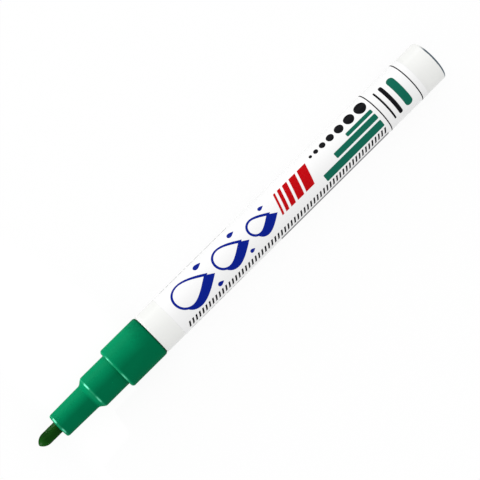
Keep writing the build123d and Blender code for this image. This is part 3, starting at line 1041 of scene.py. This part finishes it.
class MARKER_OT_wind_spring(bpy.types.Operator):
    """Wind the valve spring on a mesh of its own; the real spring shortens when the valve lifts, which is
    not made here
    """

    bl_idname = "marker.wind_spring"
    bl_label = "Wind Spring"

    def execute(self, context):
        sizes = context.scene.marker_sizes
        wire = sizes.spring_wire
        start = (SPRING_FRONT + wire, 0, AXIS_UP)
        run = SPRING_REAR - SPRING_FRONT
        bpy.ops.mesh.primitive_circle_add(vertices=sizes.wire_sides, radius=wire, location=start)
        spring = bpy.context.object
        spring.name = "wound_spring"
        bpy.ops.object.mode_set(mode="EDIT")
        bpy.ops.transform.translate(value=(0, sizes.spring - wire, 0))
        bpy.ops.object.mode_set(mode="OBJECT")
        wind = spring.modifiers.new("wind", "SCREW")
        wind.axis = "X"
        wind.screw_offset = (run - 2 * wire) / sizes.spring_turns
        wind.iterations = sizes.spring_turns
        wind.steps = sizes.spring_steps
        wind.render_steps = wind.steps
        bpy.ops.object.modifier_apply(modifier=wind.name)
        bpy.ops.object.mode_set(mode="EDIT")
        close_up()
        bpy.ops.object.mode_set(mode="OBJECT")
        settle(spring)
        material = steel_finish("spring_steel", context.scene.marker_colours, roughness=0.28)
        dress(spring, "body", "spring_steel", material, "valve_spring")
        keep = 1 - VALVE_LIFT["range_m"][1] / run
        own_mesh(spring)
        return {"FINISHED"}


class MARKER_OT_finish_inside(bpy.types.Operator):
    """Give the pieces inside the marker their finishes"""

    bl_idname = "marker.finish_inside"
    bl_label = "Finish Inside"

    def execute(self, context):
        colours = context.scene.marker_colours
        natural = natural_finish(colours)
        rubber = rubber_finish(colours)
        inside = {
            "nib_holder": natural,
            "valve_seat": natural,
            "valve_stem": natural,
            "spring_cage": natural,
            "valve_seal": rubber,
            "barrel_seal": rubber,
            "mixing_ball": steel_finish("ball_steel", colours, roughness=0.08),
        }
        for name, material in inside.items():
            frame["nodes"][name].material_slots[0].material = material
        return {"FINISHED"}


class MARKER_OT_set_stage(bpy.types.Operator):
    """Lay the floor, hang the lamps and the camera"""

    bl_idname = "marker.set_stage"
    bl_label = "Set Stage"

    def execute(self, context):
        stage = context.scene.marker_stage
        self.lay_floor(stage)
        self.light_surroundings(context, stage)
        self.hang_panel("key_lamp", stage.key_place, stage.key, stage.key_width, stage.key_height)
        self.hang_panel("front_lamp", stage.front_place, stage.front, stage.front_width, stage.front_height)
        aim = (stage.side_aim, 0, AXIS_UP)
        side = self.hang_lamp("SPOT", "side_lamp", stage.side_place, aim, stage.side)
        side.spot_size = stage.side_cone
        side.spot_blend = stage.side_blend
        side.shadow_soft_size = stage.side_size
        self.hang_camera(context, stage)
        context.scene.view_settings.view_transform = "Standard"
        return {"FINISHED"}

    def lay_floor(self, stage):
        """A floor that is white to the eye and in gloss, while it keeps the marker's shadow."""
        bpy.ops.mesh.primitive_plane_add(size=stage.floor_size)
        floor = bpy.context.object
        floor.name = "floor"
        tree = finish("white_floor")
        rays = [
            tree.node("ShaderNodeLightPath", output=name)
            for name in ("Is Camera Ray", "Is Glossy Ray", "Is Transmission Ray")
        ]
        seen = rays[0] + rays[1] + rays[2]
        paper = tree.mix(seen, tone(WHITE[:3], stage.floor_bounce), WHITE)
        matt = tree.node("ShaderNodeBsdfDiffuse", sockets={"Color": paper})
        white = tree.node("ShaderNodeEmission", sockets={"Color": WHITE, "Strength": 1.0})
        surface = tree.node("ShaderNodeMixShader", sockets={0: seen * stage.floor_glow, 1: matt, 2: white})
        tree.node("ShaderNodeOutputMaterial", sockets={"Surface": surface})
        floor.data.materials.append(tree.owner)

    def light_surroundings(self, context, stage):
        """A soft surrounding light, dimmer overhead and brighter on one side."""
        world = bpy.data.worlds.new("surroundings")
        context.scene.world = world
        tree = Tree(world)
        way = tree.node("ShaderNodeTexCoord", output="Generated")
        height = tree.node("ShaderNodeSeparateXYZ", sockets={0: way}, output="Z")
        side = tree.node("ShaderNodeSeparateXYZ", sockets={0: way}, output="Y")
        overhead = tree.ramp(height, stage.sky_from, stage.sky_to)
        level = stage.sky_low + overhead * (stage.sky_high - stage.sky_low) + side * stage.sky_side
        sky = tree.node("ShaderNodeBackground", sockets={"Color": WHITE, "Strength": level})
        tree.node("ShaderNodeOutputWorld", sockets={"Surface": sky})

    def hang_panel(self, name, spot, power, wide, high):
        """Hang a flat lamp that faces the marker's middle."""
        panel = self.hang_lamp("AREA", name, spot, (0, 0, AXIS_UP), power)
        panel.shape = "RECTANGLE"
        panel.size = wide
        panel.size_y = high

    def hang_lamp(self, kind, name, spot, aim, power):
        """Hang a lamp that faces a place and stays out of the picture."""
        facing = (Vector(aim) - Vector(spot)).to_track_quat("-Z", "Y").to_euler()
        bpy.ops.object.light_add(type=kind, location=spot, rotation=facing)
        lamp = bpy.context.object
        lamp.name = name
        lamp.visible_camera = False
        lamp.data.energy = power
        return lamp.data

    def hang_camera(self, context, stage):
        """Hang the camera over the marker, at the photograph's angle."""
        spot = (stage.camera_foot, 0, AXIS_UP + stage.camera_rise)
        bpy.ops.object.camera_add(location=spot)
        camera = bpy.context.object
        camera.rotation_mode = "ZYX"
        camera.rotation_euler = Euler((stage.camera_sway, -stage.camera_lean, -stage.camera_turn), "ZYX")
        camera.data.lens = stage.lens
        camera.data.clip_start = stage.near
        context.scene.camera = camera


class MARKER_PT_panel(bpy.types.Panel):
    """Steps and sizes of the marker"""

    bl_idname = "MARKER_PT_panel"
    bl_label = "Paint Marker"
    bl_space_type = "VIEW_3D"
    bl_region_type = "UI"
    bl_category = "Marker"

    def draw(self, context):
        for step in STEPS:
            self.layout.operator(step.bl_idname)
        for name, group in GROUPS.items():
            box = self.layout.box()
            for key in group.__annotations__:
                box.prop(getattr(context.scene, name), key, text=key.replace("_", " ").capitalize())


GROUPS = {
    "marker_sizes": MarkerSizes,
    "marker_print": MarkerPrint,
    "marker_colours": MarkerColours,
    "marker_stage": MarkerStage,
}
STEPS = (
    MARKER_OT_turn_nib,
    MARKER_OT_mould_front,
    MARKER_OT_draw_barrel,
    MARKER_OT_wrap_film,
    MARKER_OT_print_stripes,
    MARKER_OT_print_drops,
    MARKER_OT_print_bars,
    MARKER_OT_print_black,
    MARKER_OT_print_grey,
    MARKER_OT_wind_spring,
    MARKER_OT_finish_inside,
    MARKER_OT_set_stage,
)


def register():
    """Make the steps, the panel and the groups of sizes known to Blender."""
    for made in (*GROUPS.values(), *STEPS, MARKER_PT_panel):
        bpy.utils.register_class(made)
    for name, group in GROUPS.items():
        setattr(bpy.types.Scene, name, bpy.props.PointerProperty(type=group))


def unregister():
    """Take them out again."""
    for name in GROUPS:
        delattr(bpy.types.Scene, name)
    for made in reversed((*GROUPS.values(), *STEPS, MARKER_PT_panel)):
        bpy.utils.unregister_class(made)


def main():
    """Run every step in order."""
    register()
    bpy.ops.marker.turn_nib()
    bpy.ops.marker.mould_front()
    bpy.ops.marker.draw_barrel()
    bpy.ops.marker.wrap_film()
    bpy.ops.marker.print_stripes()
    bpy.ops.marker.print_drops()
    bpy.ops.marker.print_bars()
    bpy.ops.marker.print_black()
    bpy.ops.marker.print_grey()
    bpy.ops.marker.wind_spring()
    bpy.ops.marker.finish_inside()
    bpy.ops.marker.set_stage()


if __name__ == "__main__":
    main()
